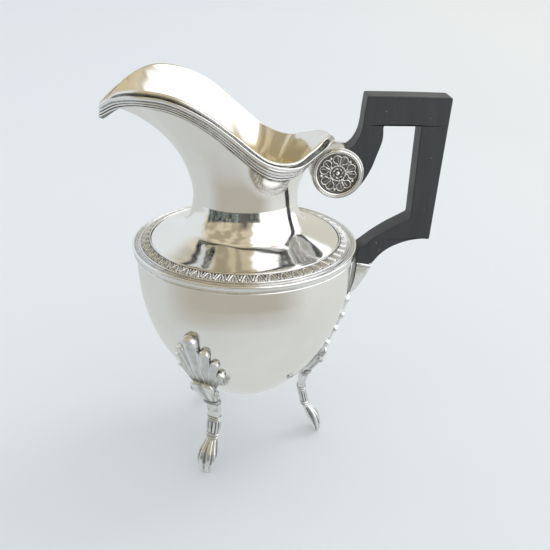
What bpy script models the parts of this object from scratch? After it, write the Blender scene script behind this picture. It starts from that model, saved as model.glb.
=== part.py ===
"""Cream jug on three paw feet, ebony handle. Metres, +Z up, origin under the middle of the overall box."""
import math

import bmesh
import bpy
import numpy as np
from mathutils import Vector

MM = 0.001
X_SHIFT = -9.765             # puts the middle of the overall length over the origin
GAP = 0.3                    # clearance between neighbouring pieces
WALL = 0.9                   # sheet silver
SEG = 40                     # steps round the body

# bowl, outside half-profile from the girdle to the bottom: (radius, height)
BOWL = [(38.6, 82.0), (38.4, 73.0), (37.6, 65.1), (35.9, 57.5), (33.3, 50.3),
        (29.9, 43.7), (25.8, 37.6), (21.2, 32.3), (15.0, 26.9), (7.6, 23.0)]
BOWL_BOTTOM = 21.7

# shoulder and neck, outside half-profile, outer edge inwards and up to the waist
SHOULDER = [(37.2, 83.1), (33.7, 84.6), (33.2, 85.4), (28.5, 87.0), (24.5, 88.6), (21.5, 90.6),
            (19.8, 93.2), (18.7, 96.6)]
WAIST_R, WAIST_Z = 18.1, 100.3

# mouth: (angle at the waist from the handle, x, half-width, height of the lip,
#         rise of the lower handle, reach back and drop back of the upper handle)
MOUTH = [(0, 29.0, 0.0, 121.6, 6.7, 6.5, 8.0), (15, 26.8, 6.2, 121.5, 6.7, 6.0, 8.0),
         (30, 21.6, 12.6, 119.2, 6.5, 5.0, 7.5), (50, 15.4, 18.8, 117.2, 6.5, 3.8, 7.0),
         (70, 6.6, 23.4, 119.6, 7.5, 3.2, 7.5), (90, -3.6, 24.6, 127.6, 9.0, 3.4, 9.0),
         (110, -12.4, 26.2, 134.5, 11.0, 4.6, 10.0), (130, -22.4, 25.8, 139.2, 12.5, 6.5, 10.5),
         (150, -33.0, 23.0, 140.2, 14.0, 9.5, 9.5), (165, -41.0, 13.2, 137.2, 14.0, 13.0, 6.0),
         (180, -46.3, 0.0, 131.6, 14.0, 16.5, 3.2)]
RISE = 7                     # rows between waist and lip

# lip moulding section: (stand-off from the sheet, distance below the lip)
LIP_SECTION = [(0.3, -0.1), (1.1, -0.45), (2.1, 0.3), (2.1, 1.5), (1.25, 2.25), (1.75, 2.9),
               (1.15, 3.45), (1.6, 4.05), (1.05, 4.6), (1.35, 5.2), (0.3, 5.8), (0.3, 2.9)]
LIP_WIDTH = 5.8
LIP_WIDTH_REAR = 2.35        # the moulding is notched above the handle socket
TIP_WIDTH = 5.1              # at the drooping tip the moulding hangs, leaning out by TIP_LEAN
TIP_LEAN = 0.26

BAND_SECTION = [(33.65, 85.5), (34.0, 85.65), (34.3, 85.3), (37.0, 84.3), (37.4, 84.35),
                (37.5, 83.4), (33.75, 84.95)]
GIRDLE_SECTION = [(37.9, 83.5), (38.6, 83.2), (39.2, 83.3), (39.7, 83.8), (40.0, 83.5),
                  (39.6, 82.8), (39.5, 81.2), (39.5, 80.65), (39.0, 80.5), (38.95, 82.35), (37.9, 82.4)]

# leg: (height, inner radius, outer radius, half-width); the foot points outwards
LEG = [(0.0, 26.8, 30.2, 2.7), (0.7, 26.3, 30.8, 3.2), (2.6, 26.0, 30.9, 3.5), (5.0, 25.6, 30.3, 3.4),
       (7.2, 24.8, 29.5, 3.2), (9.2, 23.9, 28.1, 2.8), (11.0, 23.2, 26.6, 2.5), (12.0, 22.9, 26.1, 2.9),
       (13.7, 22.6, 25.8, 2.9), (14.4, 22.6, 25.1, 2.3), (18.3, 21.6, 24.5, 2.6), (19.1, 21.2, 24.6, 3.1),
       (20.4, 21.0, 24.6, 3.1), (21.2, 21.2, 24.1, 2.6), (24.5, 21.2, 24.1, 2.6), (28.0, 21.4, 24.9, 2.8),
       (30.4, 22.1, 26.3, 3.1), (33.0, 23.1, 27.3, 3.3)]
LEG_ANGLES = (0.0, 120.0, 240.0)
TOES = 3

# palmette: lobes of the fan, (direction in degrees from upright, length)
LOBES = [(-33, 18.4), (-22, 24.0), (-11.6, 28.6), (0, 33.4), (11.6, 28.6), (22, 24.0), (33, 18.4)]
PALMETTE_BASE_Z = 31.4
PALMETTE_THICK = 1.2

# knuckle ring below each palmette: heights inside and outside, depth
CLIP_Z_IN, CLIP_Z_OUT, CLIP_TALL, CLIP_WALL = 28.9, 27.6, 2.6, 0.75

# handle
BOARD = 8.95                 # thickness of the ebony board
DRUM_X, DRUM_Z = 31.42, 109.74
DRUM_R = 8.46
DRUM_HALF = 4.2              # half the depth of the drum wall
BOSS_R, BOSS_HALF = 7.4, 3.9
SEAT_R = 8.8                 # the board is cut away to this radius under each disc
PIN_R = 1.1
DISC_FACE = 5.05             # half the width over the two discs
HANDLE_OUTER = [(38.3, 122.6), (38.9, 126.2), (39.3, 131.2), (39.9, 136.1), (68.3, 135.8), (65.8, 85.5),
                (62.6, 85.4), (57.5, 84.5), (52.4, 82.2), (48.8, 79.4), (45.6, 75.5)]
HANDLE_INNER = [(40.4, 81.2), (42.6, 83.2), (45.9, 85.8), (50.7, 89.1), (54.4, 91.2), (58.2, 93.1),
                (58.6, 126.2), (45.9, 126.3), (45.9, 121.6), (44.4, 115.9), (43.1, 111.4), (40.9, 107.0)]
TANG_TOP = [(41.9, 76.0), (44.4, 75.65)]
TANG_END = [(42.0, 68.4), (40.7, 68.4)]
HEEL = (40.3, 76.25)         # lower inner corner of the board
TANG_HALF = 2.7

# lower socket: (height, back corner, outer edge) on the long axis, half-width
SOCKET = [(61.5, 38.3, 38.95, 0.7), (63.4, 38.75, 40.3, 2.2), (66.2, 39.2, 42.1, 3.3), (68.8, 39.6, 43.5, 4.0),
          (71.6, 39.85, 44.9, 4.4), (74.2, 40.05, 46.0, 4.6), (75.15, 40.0, 46.2, 4.75)]
SOCKET_BACK = 39.0           # flat back, just clear of the bowl
SOCKET_WALL = 0.7
SOCKET_FLOOR = 2             # section at which the recess for the tang starts

COLOURS = {"silver": ((0.86, 0.85, 0.82), 0.16, 1.0), "ebony": ((0.035, 0.034, 0.037), 0.42, 0.0)}


def material(name, kind):
    colour, rough, metal = COLOURS[kind]
    mat = bpy.data.materials.new(name + "_" + kind)
    mat.use_nodes = True
    shader = mat.node_tree.nodes["Principled BSDF"]
    shader.inputs["Base Color"].default_value = (*colour, 1.0)
    shader.inputs["Roughness"].default_value = rough
    shader.inputs["Metallic"].default_value = metal
    mat.diffuse_color = (*colour, 1.0)
    return mat


def finish(name, bm, kind="silver", smooth=True, bevel=0.0):
    """Turn a bmesh in millimetres into a named object in metres."""
    bmesh.ops.remove_doubles(bm, verts=bm.verts, dist=1e-5)
    bmesh.ops.recalc_face_normals(bm, faces=bm.faces)
    if bm.calc_volume(signed=True) < 0:
        bmesh.ops.reverse_faces(bm, faces=bm.faces)
    for vert in bm.verts:
        vert.co = Vector(((vert.co.x + X_SHIFT) * MM, vert.co.y * MM, vert.co.z * MM))
    mesh = bpy.data.meshes.new(name)
    bm.to_mesh(mesh)
    bm.free()
    for face in mesh.polygons:
        face.use_smooth = smooth
    obj = bpy.data.objects.new(name, mesh)
    obj.data.materials.append(material(name, kind))
    bpy.context.collection.objects.link(obj)
    if bevel:
        mod = obj.modifiers.new("edges", "BEVEL")
        mod.width = bevel * MM
        mod.segments = 1
        mod.limit_method = "ANGLE"
        mod.angle_limit = math.radians(38)
    return obj


def skin(bm, rings, closed_sections=True, cap=True, loop=False):
    """Join a list of equal rings of points into a surface, with caps or closed end to end."""
    rows = [[bm.verts.new(p) for p in ring] for ring in rings]
    pairs = list(zip(rows, rows[1:])) + ([(rows[-1], rows[0])] if loop else [])
    for low, high in pairs:
        n = len(low)
        for j in range(n if closed_sections else n - 1):
            k = (j + 1) % n
            bm.faces.new((low[j], low[k], high[k], high[j]))
    if cap and not loop:
        bm.faces.new(rows[0][::-1])
        bm.faces.new(rows[-1])
    return rows


def ring_at(radius, height, count=SEG):
    turn = 2 * math.pi / count
    return [(radius * math.cos(i * turn), radius * math.sin(i * turn), height) for i in range(count)]


def turned(name, section, count=SEG):
    """Closed section turned all the way round the upright axis."""
    bm = bmesh.new()
    skin(bm, [ring_at(r, z, count) for r, z in section], cap=False, loop=True)
    return finish(name, bm)


def offset_profile(points, distance):
    """Profile moved to its left by a distance, keeping the number of points."""
    pts = np.array(points, float)
    tangent = np.gradient(pts, axis=0)
    tangent /= np.linalg.norm(tangent, axis=1)[:, None]
    return pts + distance * np.stack([-tangent[:, 1], tangent[:, 0]], 1)


def radius_of_bowl(z):
    heights = [p[1] for p in BOWL][::-1]
    return float(np.interp(z, heights, [p[0] for p in BOWL][::-1]))


# ---- bowl

def make_bowl():
    bm = bmesh.new()
    inner = offset_profile(BOWL, -WALL)
    inner[0][1] = BOWL[0][1]
    outside = [ring_at(r, z) for r, z in BOWL]
    inside = [ring_at(r, z) for r, z in inner]
    rows = skin(bm, outside[::-1] + inside, cap=False)
    for rim, height in ((rows[0], BOWL_BOTTOM), (rows[-1], BOWL_BOTTOM + WALL)):
        pole = bm.verts.new((0, 0, height))
        for j in range(SEG):
            bm.faces.new((rim[j], rim[(j + 1) % SEG], pole))
    return finish("bowl", bm)


# ---- neck and spout

def smooth_at(angle, column):
    """Smooth curve through the mouth table, mirror-symmetric about both ends."""
    base = [(row[0], row[column]) for row in MOUTH]
    sign = -1 if column == 2 else 1
    pts = [(-a, sign * v) for a, v in base[2:0:-1]] + base + [(360 - a, sign * v) for a, v in base[-2:-4:-1]]
    i = max(k for k in range(len(pts) - 1) if pts[k][0] <= angle)
    i = min(max(i, 1), len(pts) - 3)
    (a0, v0), (a1, v1), (a2, v2), (a3, v3) = pts[i - 1:i + 3]
    t = (angle - a1) / (a2 - a1)
    m1 = (v2 - v0) / (a2 - a0) * (a2 - a1)
    m2 = (v3 - v1) / (a3 - a1) * (a2 - a1)
    t2, t3 = t * t, t * t * t
    return (2 * t3 - 3 * t2 + 1) * v1 + (t3 - 2 * t2 + t) * m1 + (3 * t2 - 2 * t3) * v2 + (t3 - t2) * m2


def rib(angle):
    """Four control points of the curve from the waist to the lip at one angle (degrees)."""
    folded = angle if angle <= 180 else 360 - angle
    side = 1 if angle <= 180 else -1
    a = math.radians(angle)
    x, half, z, rise, back, drop = (smooth_at(folded, c) for c in range(1, 7))
    foot = Vector((WAIST_R * math.cos(a), WAIST_R * math.sin(a), WAIST_Z))
    lip = Vector((x, side * half, z))
    out = Vector((math.cos(a), math.sin(a), 0))
    return foot, foot + Vector((0, 0, rise)), lip - out * back - Vector((0, 0, drop)), lip


def on_rib(ctrl, t):
    a, b, c, d = ctrl
    s = 1 - t
    return a * s ** 3 + b * (3 * s * s * t) + c * (3 * s * t * t) + d * t ** 3


def below_lip(angle, distance):
    """Point of the sheet a given distance down from the lip."""
    ctrl = rib(angle)
    if distance <= 0:
        return ctrl[3] + (ctrl[3] - ctrl[2]).normalized() * -distance
    here, left = ctrl[3], distance
    for k in range(59, 0, -1):
        there = on_rib(ctrl, k / 60)
        step = (there - here).length
        if step >= left:
            return here.lerp(there, left / step)
        here, left = there, left - step
    return here


def sheet_normal(angle, distance):
    up = below_lip(angle, distance - 0.2) - below_lip(angle, distance + 0.2)
    across = below_lip(angle + 1.0, distance) - below_lip(angle - 1.0 if angle >= 1 else angle + 359.0, distance)
    return across.cross(up).normalized()


def make_neck():
    angles = [j * 360 / SEG for j in range(SEG)]
    outside = [ring_at(r, z) for r, z in SHOULDER]
    for i in range(RISE + 1):
        outside.append([tuple(on_rib(rib(a), i / RISE)) for a in angles])
    grid = np.array(outside)
    along = np.gradient(grid, axis=0)
    across = np.roll(grid, -1, 1) - np.roll(grid, 1, 1)
    normal = np.cross(across, along)
    normal /= np.linalg.norm(normal, axis=2)[:, :, None]
    inside = grid - WALL * normal
    bm = bmesh.new()
    skin(bm, list(grid) + list(inside[::-1]), cap=False, loop=True)
    return finish("neck_spout", bm)


def make_lip():
    rings = []
    for j in range(SEG):
        angle = j * 360 / SEG
        rear = min(angle, 360 - angle)
        hang = max(0.0, (rear - 140) / 40) ** 2
        width = LIP_WIDTH_REAR if rear < 16 else LIP_WIDTH + (TIP_WIDTH - LIP_WIDTH) * hang
        a = math.radians(angle)
        lean = math.hypot(1, TIP_LEAN)
        drop = Vector((math.cos(a) * TIP_LEAN, math.sin(a) * TIP_LEAN, -1)) / lean
        face = Vector((math.cos(a), math.sin(a), TIP_LEAN)) / lean
        ring = []
        for off, down in LIP_SECTION:
            down = min(down * width / LIP_WIDTH if rear > 16 else down, width)
            thin = off if down < width else min(off, 0.3 + 0.5 * (off - 0.3))
            base = below_lip(angle, down).lerp(below_lip(angle, 0) + drop * down, hang)
            normal = sheet_normal(angle, max(down, 0.2)).lerp(face, hang).normalized()
            ring.append(tuple(base + normal * thin))
        rings.append(ring)
    bm = bmesh.new()
    skin(bm, rings, cap=False, loop=True)
    return finish("lip_moulding", bm)


# ---- legs and their ornament

def turn_to(point, angle):
    a = math.radians(angle)
    x, y, z = point
    return (x * math.cos(a) - y * math.sin(a), x * math.sin(a) + y * math.cos(a), z)


def leg_section(height, inner, outer, half):
    """Rounded section of the leg; low down its outer side is scalloped into toes."""
    pts = []
    middle, depth = (inner + outer) / 2, (outer - inner) / 2
    for k in range(14):
        a = 2 * math.pi * (k + 0.5) / 14
        c, s = math.cos(a), math.sin(a)
        x = math.copysign(abs(c) ** 0.6, c) * depth
        y = math.copysign(abs(s) ** 0.6, s) * half
        if height < 6 and c > 0:
            x -= 0.55 * (0.5 - 0.5 * math.cos(TOES * math.pi * (y / half + 1))) * (1 - height / 6) - 0.15
        pts.append((middle + x, y, height))
    return pts


def make_leg(number, angle):
    bm = bmesh.new()
    rings = [[turn_to(p, angle) for p in leg_section(*row)] for row in LEG]
    skin(bm, rings)
    return finish("leg_%d" % number, bm)


def on_bowl(across, up, proud):
    """Point of the bowl a given distance sideways and upwards from the palmette's root."""
    z, r, walked = PALMETTE_BASE_Z, radius_of_bowl(PALMETTE_BASE_Z), 0.0
    step = 0.5
    while walked < up:
        z2 = z + step * 0.9
        r2 = radius_of_bowl(z2)
        walked += math.hypot(z2 - z, r2 - r)
        z, r = z2, r2
    slope = (radius_of_bowl(z + 1) - radius_of_bowl(z - 1)) / 2
    tilt = math.hypot(1, slope)
    a = across / r
    radial = r + proud / tilt
    return (radial * math.cos(a), radial * math.sin(a), z - proud * slope / tilt)


def make_palmette(number, angle):
    per = 4
    columns = []
    for i, (aim, length) in enumerate(LOBES):
        left = (LOBES[i - 1][0] + aim) / 2 if i else aim - 6
        right = (LOBES[i + 1][0] + aim) / 2 if i < len(LOBES) - 1 else aim + 6
        for k in range(per + (i == len(LOBES) - 1)):
            f = k / per
            bow = math.sin(math.pi * f)
            columns.append((left + (right - left) * f, length * (0.84 + 0.16 * bow ** 0.5), f))
    front, back = [], []
    for aim, length, f in columns:
        a = math.radians(aim)
        lift = abs(math.cos(math.pi * f)) if 0 < f < 1 else 0.35
        col_f, col_b = [], []
        for v in (0.2, 0.5, 0.8, 1.0):
            x, s = length * v * math.sin(a), length * v * math.cos(a)
            curl = 0.5 if v == 0.8 else 0.0
            rise = GAP + PALMETTE_THICK * (0.45 + 0.4 * lift * min(1, 2 * v)) + curl * math.sin(math.pi * f)
            col_f.append(turn_to(on_bowl(x, s, rise if v < 1 else GAP + 0.55), angle))
            col_b.append(turn_to(on_bowl(x, s, GAP), angle))
        front.append(col_f)
        back.append(col_b)
    bm = bmesh.new()
    rows_f = skin(bm, front, closed_sections=False, cap=False)
    rows_b = skin(bm, back, closed_sections=False, cap=False)
    edge_f = [r[0] for r in rows_f] + rows_f[-1][1:] + [r[-1] for r in rows_f[-2::-1]] + rows_f[0][-2:0:-1]
    edge_b = [r[0] for r in rows_b] + rows_b[-1][1:] + [r[-1] for r in rows_b[-2::-1]] + rows_b[0][-2:0:-1]
    for k in range(len(edge_f)):
        m = (k + 1) % len(edge_f)
        bm.faces.new((edge_f[k], edge_f[m], edge_b[m], edge_b[k]))
    return finish("palmette_%d" % number, bm)


def make_clip(number, angle):
    """Ring clasping the top of the leg, higher at the back, swollen in front."""
    def shell(extra, share):
        pts = []
        for k in range(16):
            a = 2 * math.pi * (k + 0.5) / 16
            c, s = math.cos(a), math.sin(a)
            z = CLIP_Z_OUT + (CLIP_Z_IN - CLIP_Z_OUT) * (1 - c) / 2 + share * CLIP_TALL
            inner = np.interp(z, [row[0] for row in LEG], [row[1] for row in LEG])
            outer = np.interp(z, [row[0] for row in LEG], [row[2] for row in LEG])
            half = np.interp(z, [row[0] for row in LEG], [row[3] for row in LEG])
            x = math.copysign(abs(c) ** 0.6, c) * ((outer - inner) / 2 + extra)
            y = math.copysign(abs(s) ** 0.6, s) * (half + extra)
            pts.append(turn_to(((inner + outer) / 2 + x, y, z), angle))
        return pts
    near, far = GAP + 0.05, GAP + CLIP_WALL
    bm = bmesh.new()
    skin(bm, [shell(near, 0), shell(far, 0), shell(far + 0.35, 0.25), shell(far, 0.5), shell(far + 0.35, 0.75),
              shell(far, 1), shell(near, 1)], cap=False, loop=True)
    return finish("clip_%d" % number, bm)


# ---- handle and its fittings

def arc(radius, start, end, count):
    return [(DRUM_X + radius * math.cos(math.radians(start + (end - start) * k / count)),
             DRUM_Z + radius * math.sin(math.radians(start + (end - start) * k / count)))
            for k in range(count + 1)]


def make_handle():
    """Ebony board: full thickness outside, thinner boss inside the drum, thin tang below."""
    top, low = 66.0, -46.0
    seat = arc(SEAT_R, top, low, 10)
    board = ([(x, z, 0) for x, z in HANDLE_OUTER] + [(*TANG_TOP[1], 0), (*TANG_TOP[0], 0), (*HEEL, 0)]
             + [(x, z, 0) for x, z in HANDLE_INNER] + [(x, z, 0) for x, z in seat[::-1]])
    board_pts = [(x, z) for x, z, _ in board]
    boss = arc(BOSS_R, top, 360 + low, 22)
    boss_pts = seat + boss[::-1]
    tang_pts = [TANG_TOP[1], TANG_TOP[0], TANG_END[1], TANG_END[0]]
    full, thin, tang = BOARD / 2, BOSS_HALF, TANG_HALF
    steps = {seat[0]: thin, seat[-1]: thin, TANG_TOP[0]: tang, TANG_TOP[1]: tang}
    shared = {frozenset(e) for e in zip(seat, seat[1:])} | {frozenset(TANG_TOP)}
    bm = bmesh.new()
    made = {}

    def vert(p, y):
        key = (round(p[0], 5), round(p[1], 5), round(y, 5))
        if key not in made:
            made[key] = bm.verts.new((p[0], y, p[1]))
        return made[key]

    for outline, half in ((board_pts, full), (boss_pts, thin), (tang_pts, tang)):
        for side in (-half, half):
            bm.faces.new([vert(p, side) for p in outline])
        for p, q in zip(outline, outline[1:] + outline[:1]):
            if frozenset((p, q)) in shared:
                if half == full:
                    inner = tang if frozenset((p, q)) == frozenset(TANG_TOP) else thin
                    for sign in (-1, 1):
                        bm.faces.new([vert(p, sign * inner), vert(q, sign * inner),
                                      vert(q, sign * full), vert(p, sign * full)])
                continue
            face = [vert(p, -half), vert(q, -half)]
            if half == full and q in steps:
                face += [vert(q, -steps[q]), vert(q, steps[q])]
            face += [vert(q, half), vert(p, half)]
            if half == full and p in steps:
                face += [vert(p, steps[p]), vert(p, -steps[p])]
            bm.faces.new(face)
    obj = finish("handle", bm, "ebony", smooth=False, bevel=0.4)
    bpy.ops.mesh.primitive_cylinder_add(vertices=20, radius=(PIN_R + GAP) * MM, depth=0.02)
    cutter = bpy.context.object
    cutter.name = "cut_pin_hole"
    cutter.location = ((DRUM_X + X_SHIFT) * MM, 0, DRUM_Z * MM)
    cutter.rotation_euler = (math.pi / 2, 0, 0)
    cutter.hide_render = True
    cutter.display_type = "WIRE"
    mod = obj.modifiers.new("pin_hole", "BOOLEAN")
    mod.operation = "DIFFERENCE"
    mod.solver = "EXACT"
    mod.object = cutter
    return obj


def reach_to_neck(theta):
    """How far the drum can reach along a direction before it meets the back of the neck."""
    c, s = math.cos(theta), math.sin(theta)
    ctrl = rib(0)
    best = 99.0
    for k in range(121):
        p = on_rib(ctrl, k / 120)
        dx, dz = p.x - DRUM_X, p.z - DRUM_Z
        along = dx * c + dz * s
        if along > 0 and abs(dz * c - dx * s) < 0.35:
            best = min(best, along)
    return best


def make_drum():
    """Open drum wall round the boss with a saddle that lies against the neck."""
    start, end, count = 78.0, 296.0, 24
    inner, outer = [], []
    for k in range(count + 1):
        theta = math.radians(start + (end - start) * k / count)
        far = DRUM_R
        if 120 < math.degrees(theta) < 178:
            far = min(max(DRUM_R, reach_to_neck(theta) - 1.2 * GAP), DRUM_R + 0.9)
        outer.append((far * math.cos(theta), far * math.sin(theta)))
        inner.append(((BOSS_R + GAP) * math.cos(theta), (BOSS_R + GAP) * math.sin(theta)))
    outline = [(DRUM_X + x, DRUM_Z + z) for x, z in outer + inner[::-1]]
    bm = bmesh.new()
    skin(bm, [[(x, y, z) for x, z in outline] for y in (-DRUM_HALF, DRUM_HALF)], cap=False)
    bm.verts.ensure_lookup_table()
    n = len(outline)
    for base in (0, n):
        for k in range(count):
            bm.faces.new([bm.verts[base + i] for i in (k, k + 1, n - 2 - k, n - 1 - k)])
    return finish("upper_socket", bm)


def on_face(name, section, side, petals=0, open_middle=False, count=25):
    """Disc or ring on the drum's face from (radius, distance from the middle plane) rows."""
    bm = bmesh.new()
    rings = []
    for r, y in section:
        ring = []
        for k in range(count):
            a = 2 * math.pi * k / count
            lift = 0.22 * math.cos(petals * a) if petals and 2.8 < r < 5.6 else 0.0
            ring.append((DRUM_X + r * math.cos(a), side * (y + lift), DRUM_Z + r * math.sin(a)))
        rings.append(ring)
    skin(bm, rings, cap=not open_middle, loop=open_middle)
    return finish(name, bm)


def make_pin():
    bm = bmesh.new()
    half = DRUM_HALF - 0.1
    skin(bm, [[(DRUM_X + PIN_R * math.cos(math.pi * k / 8), y, DRUM_Z + PIN_R * math.sin(math.pi * k / 8))
               for k in range(16)] for y in (-half, half)])
    return finish("handle_pin", bm)


def socket_section(z, left, right, half, shrink=0.0):
    edge = 0.5 if half > 1 else 0.15
    back = min(SOCKET_BACK, left - 0.05) + shrink
    left, right, half = left + shrink * 0.3, right - shrink, half - shrink
    waist = half * 0.82
    return [(back, -waist, z), (left, -half, z), (right - edge, -half, z), (right, -half + edge, z),
            (right, half - edge, z), (right - edge, half, z), (left, half, z), (back, waist, z)]


def make_lower_socket():
    outside = [socket_section(*row) for row in SOCKET]
    inside = [socket_section(*row, shrink=SOCKET_WALL) for row in SOCKET[SOCKET_FLOOR:]]
    bm = bmesh.new()
    skin(bm, outside + inside[::-1])
    return finish("lower_socket", bm, smooth=False)


for old in list(bpy.data.objects):
    bpy.data.objects.remove(old, do_unlink=True)

make_bowl()
make_neck()
make_lip()
turned("shoulder_band", BAND_SECTION)
turned("girdle_moulding", GIRDLE_SECTION)
for index, bearing in enumerate(LEG_ANGLES, 1):
    make_leg(index, bearing)
    make_palmette(index, bearing)
    make_clip(index, bearing)
make_handle()
make_drum()
make_lower_socket()
make_pin()
for word, way in (("front", -1), ("back", 1)):
    on_face("bezel_" + word, [(8.46, 4.5), (8.46, 4.85), (8.1, 5.05), (7.5, 5.05), (7.0, 4.75), (7.0, 4.5)],
            way, open_middle=True)
    on_face("rosette_" + word, [(6.5, 4.3), (6.65, 4.6), (5.8, 4.65), (4.6, 4.75), (3.2, 4.65), (2.4, 4.5),
                                (2.0, 4.85), (1.1, 4.95)], way, petals=5)
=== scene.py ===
"""Cream jug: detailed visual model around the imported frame, with its plain studio."""
import math

import bmesh
import bpy
import numpy as np
from mathutils import Matrix, Vector
from mathutils.geometry import tessellate_polygon


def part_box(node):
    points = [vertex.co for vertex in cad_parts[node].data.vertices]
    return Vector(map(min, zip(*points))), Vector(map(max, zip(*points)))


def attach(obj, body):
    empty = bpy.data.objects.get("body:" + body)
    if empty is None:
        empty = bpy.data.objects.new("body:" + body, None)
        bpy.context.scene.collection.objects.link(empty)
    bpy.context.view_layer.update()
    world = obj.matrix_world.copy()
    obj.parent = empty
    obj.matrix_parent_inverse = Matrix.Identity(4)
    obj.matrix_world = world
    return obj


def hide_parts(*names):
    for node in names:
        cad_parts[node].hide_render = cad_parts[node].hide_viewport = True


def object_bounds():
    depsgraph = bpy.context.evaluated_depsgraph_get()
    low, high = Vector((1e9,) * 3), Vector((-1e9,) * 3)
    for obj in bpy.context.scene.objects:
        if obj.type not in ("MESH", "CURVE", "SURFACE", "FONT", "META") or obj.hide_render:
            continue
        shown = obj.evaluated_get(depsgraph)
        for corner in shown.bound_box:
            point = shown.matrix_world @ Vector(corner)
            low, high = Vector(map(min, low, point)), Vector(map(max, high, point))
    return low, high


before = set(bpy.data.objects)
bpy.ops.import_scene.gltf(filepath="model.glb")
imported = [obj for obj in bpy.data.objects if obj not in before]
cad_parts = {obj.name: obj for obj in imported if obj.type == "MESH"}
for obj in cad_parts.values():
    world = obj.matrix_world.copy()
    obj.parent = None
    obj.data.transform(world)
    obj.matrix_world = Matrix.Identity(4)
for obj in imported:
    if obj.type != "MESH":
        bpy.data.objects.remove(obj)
cad_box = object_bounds()

MM = 0.001


def middle(node):
    low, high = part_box(node)
    return (low + high) / 2


AXIS_X = middle("bowl").x / MM                       # the body's upright axis, in mm along the frame's X
DRUM_X = middle("bezel_front").x / MM - AXIS_X       # centre of the round drum, from the axis
DRUM_Z = middle("bezel_front").z / MM
BOARD = (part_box("handle")[1].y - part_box("handle")[0].y) / MM
SHEET = 0.9                                          # thickness of the sheet silver
MERGE = 0.0004                                       # points closer than this, in mm, become one


# ---------------------------------------------------------------- curves and meshes

def curve_through(points, count):
    """Centripetal Catmull-Rom curve through points, resampled evenly along its length."""
    p = np.array(points, float)
    step = np.sqrt(np.linalg.norm(np.diff(p, axis=0), axis=1))
    knot = np.concatenate([[0], np.cumsum(step)])
    slope = np.empty_like(p)
    slope[1:-1] = (p[2:] - p[:-2]) / (knot[2:] - knot[:-2])[:, None]
    slope[0] = (p[1] - p[0]) / step[0]
    slope[-1] = (p[-1] - p[-2]) / step[-1]
    fine = np.linspace(0, knot[-1], count * 4)
    i = np.clip(np.searchsorted(knot, fine, side="right") - 1, 0, len(p) - 2)
    h = (knot[i + 1] - knot[i])[:, None]
    t = (fine - knot[i])[:, None] / h
    q = ((2 * t**3 - 3 * t**2 + 1) * p[i] + (t**3 - 2 * t**2 + t) * h * slope[i]
         + (3 * t**2 - 2 * t**3) * p[i + 1] + (t**3 - t**2) * h * slope[i + 1])
    run = np.concatenate([[0], np.cumsum(np.linalg.norm(np.diff(q, axis=0), axis=1))])
    even = np.linspace(0, run[-1], count)
    return np.stack([np.interp(even, run, q[:, k]) for k in range(q.shape[1])], 1)


def arc_points(cx, cy, radius, start, end, count):
    a = np.radians(np.linspace(start, end, count))
    return [(cx + radius * math.cos(t), cy + radius * math.sin(t)) for t in a]


def smoothstep(low, high, x):
    t = np.clip((x - low) / (high - low), 0, 1)
    return t * t * (3 - 2 * t)


def ridge(distance, width):
    """Rounded ridge of height 1 where the distance is 0."""
    return np.clip(1 - (distance / width) ** 2, 0, None) ** 0.75


class Shape:
    """Collects grids of points in mm, with two painted values per point, into one mesh."""

    def __init__(self):
        self.points, self.faces, self.recess, self.gilt, self.count = [], [], [], [], 0

    def grid(self, points, wrap_rows=False, recess=0.0, gilt=0.0):
        """Adds a grid whose columns run all the way round; returns the numbers of its points."""
        points = np.asarray(points, float)
        rows, cols = points.shape[:2]
        index = np.arange(rows * cols).reshape(rows, cols) + self.count
        if wrap_rows:
            index = np.vstack([index, index[:1]])
        index = np.hstack([index, index[:, :1]])
        corners = index[:-1, :-1], index[:-1, 1:], index[1:, 1:], index[1:, :-1]
        quads = np.stack(corners, -1).reshape(-1, 4)
        self.faces += quads.tolist()
        self.points.append(points.reshape(-1, 3))
        for store, value in ((self.recess, recess), (self.gilt, gilt)):
            store.append(np.broadcast_to(value, (rows, cols)).reshape(-1))
        self.count += rows * cols
        return index

    def build(self, name, material):
        """Makes the object, moved from the jug's own axis to its place in the frame, in metres."""
        co = np.concatenate(self.points) * MM + np.array([AXIS_X * MM, 0, 0])
        mesh = bpy.data.meshes.new(name)
        mesh.from_pydata(co.tolist(), [], self.faces)
        for label, values in (("recess", self.recess), ("gilt", self.gilt)):
            layer = mesh.attributes.new(label, "FLOAT", "POINT")
            layer.data.foreach_set("value", np.concatenate(values).astype(np.float32))
        bm = bmesh.new()
        bm.from_mesh(mesh)
        bmesh.ops.remove_doubles(bm, verts=bm.verts, dist=MERGE * MM)
        bmesh.ops.dissolve_degenerate(bm, edges=bm.edges, dist=MERGE * MM * 0.1)
        bmesh.ops.recalc_face_normals(bm, faces=bm.faces)
        bm.to_mesh(mesh)
        bm.free()
        mesh.polygons.foreach_set("use_smooth", [True] * len(mesh.polygons))
        mesh.materials.append(material)
        obj = bpy.data.objects.new(name, mesh)
        bpy.context.scene.collection.objects.link(obj)
        return obj


def turned(section, count=256):
    """Grid of a section (radius, height) turned round the upright axis."""
    section = np.asarray(section, float)
    a = np.linspace(0, 2 * math.pi, count, endpoint=False)
    return np.stack([section[:, :1] * np.cos(a), section[:, :1] * np.sin(a),
                     np.repeat(section[:, 1:2], count, 1)], -1)


def normals(grid):
    along = np.gradient(grid, axis=0)
    across = np.roll(grid, -1, 1) - np.roll(grid, 1, 1)
    n = np.cross(across, along)
    return n / np.maximum(np.linalg.norm(n, axis=2), 1e-9)[:, :, None]


def below_edge(grid):
    """Distance of each point from the last row's edge, measured down its own column."""
    step = np.linalg.norm(np.diff(grid, axis=0), axis=2)
    return np.concatenate([np.cumsum(step[::-1], 0)[::-1], np.zeros((1, grid.shape[1]))])


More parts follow.
